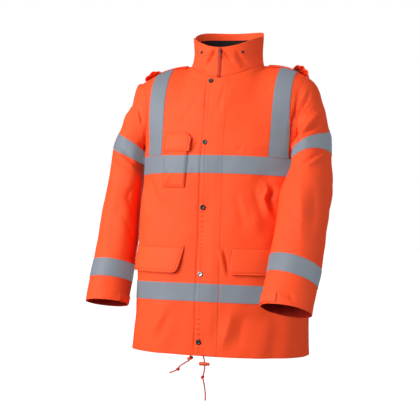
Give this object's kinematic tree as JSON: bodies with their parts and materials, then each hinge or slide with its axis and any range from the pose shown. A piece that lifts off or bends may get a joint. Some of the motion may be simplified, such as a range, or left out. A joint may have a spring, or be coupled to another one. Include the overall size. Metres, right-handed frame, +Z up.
{
  "type": "high-visibility work jacket",
  "caption": "Hollow worn-shape hi-vis work jacket with stand collar, storm flap, reflective bands and braces, flap pockets and hem draw cords.",
  "frame": {"origin": "centre of the wearer's neck, level with the neck ends of the shoulder seams, where the wearer holds the jacket up", "axes": "+Z up along the body, the front faces -Y, the wearer's left is at +X"},
  "size_m": [0.7185, 0.4486, 1.056],
  "materials": {
    "orange_cloth": "coated woven cloth, soft sheen",
    "reflective_tape": "matt silver-grey reflective tape",
    "black_lining": "matt",
    "gunmetal": "satin gunmetal",
    "orange_plastic": "matt moulded",
    "orange_cord": "braided cord"
  },
  "bodies": {
    "jacket": {"front_right": "orange_cloth", "front_left": "orange_cloth", "back": "orange_cloth", "sleeve_right": "orange_cloth", "sleeve_left": "orange_cloth", "collar": "orange_cloth", "zip": "orange_cloth", "storm_flap": "orange_cloth", "chest_pocket": "orange_cloth", "chest_pocket_flap": "orange_cloth", "lower_pocket_flap_right": "orange_cloth", "lower_pocket_flap_left": "orange_cloth", "shoulder_strap_right": "orange_cloth", "shoulder_strap_left": "orange_cloth", "cuff_tab_right": "orange_cloth", "cuff_tab_left": "orange_cloth", "chest_tape": "reflective_tape", "hip_tape": "reflective_tape", "chest_tape_on_flap": "reflective_tape", "hip_tape_on_flap": "reflective_tape", "chest_pocket_tape": "reflective_tape", "brace_right": "reflective_tape", "brace_left": "reflective_tape", "sleeve_tape_upper_right": "reflective_tape", "sleeve_tape_upper_left": "reflective_tape", "sleeve_tape_lower_right": "reflective_tape", "sleeve_tape_lower_left": "reflective_tape", "collar_lining": "black_lining", "snap_1": "gunmetal", "snap_2": "gunmetal", "snap_3": "gunmetal", "snap_4": "gunmetal", "snap_5": "gunmetal", "hood_snap_right": "gunmetal", "hood_snap_left": "gunmetal", "zip_slider": "gunmetal", "cord_lock_right": "orange_plastic", "cord_lock_left": "orange_plastic", "cord_right": "orange_cord", "cord_left": "orange_cord"},
    "zip_pull": {"zip_pull": "orange_plastic"},
    "lock_button_right": {"cord_lock_button_right": "orange_plastic"},
    "lock_button_left": {"cord_lock_button_left": "orange_plastic"}
  },
  "joints": [
    {"name": "zip_pull_swing", "type": "hinge", "parent": "jacket", "child": "zip_pull", "pos_m": [0, -0.09629, 0.03363], "axis": [1, 0, 0], "range_deg": [-160, 0]},
    {"name": "lock_press_right", "type": "slide", "parent": "jacket", "child": "lock_button_right", "axis": [0, 1, 0], "range_m": [0, 0.002], "stiffness_N_per_m": 400, "springref_m": -0.003},
    {"name": "lock_press_left", "type": "slide", "parent": "jacket", "child": "lock_button_left", "axis": [-1, 0, 0], "range_m": [0, 0.002], "stiffness_N_per_m": 400, "springref_m": -0.003}
  ]
}
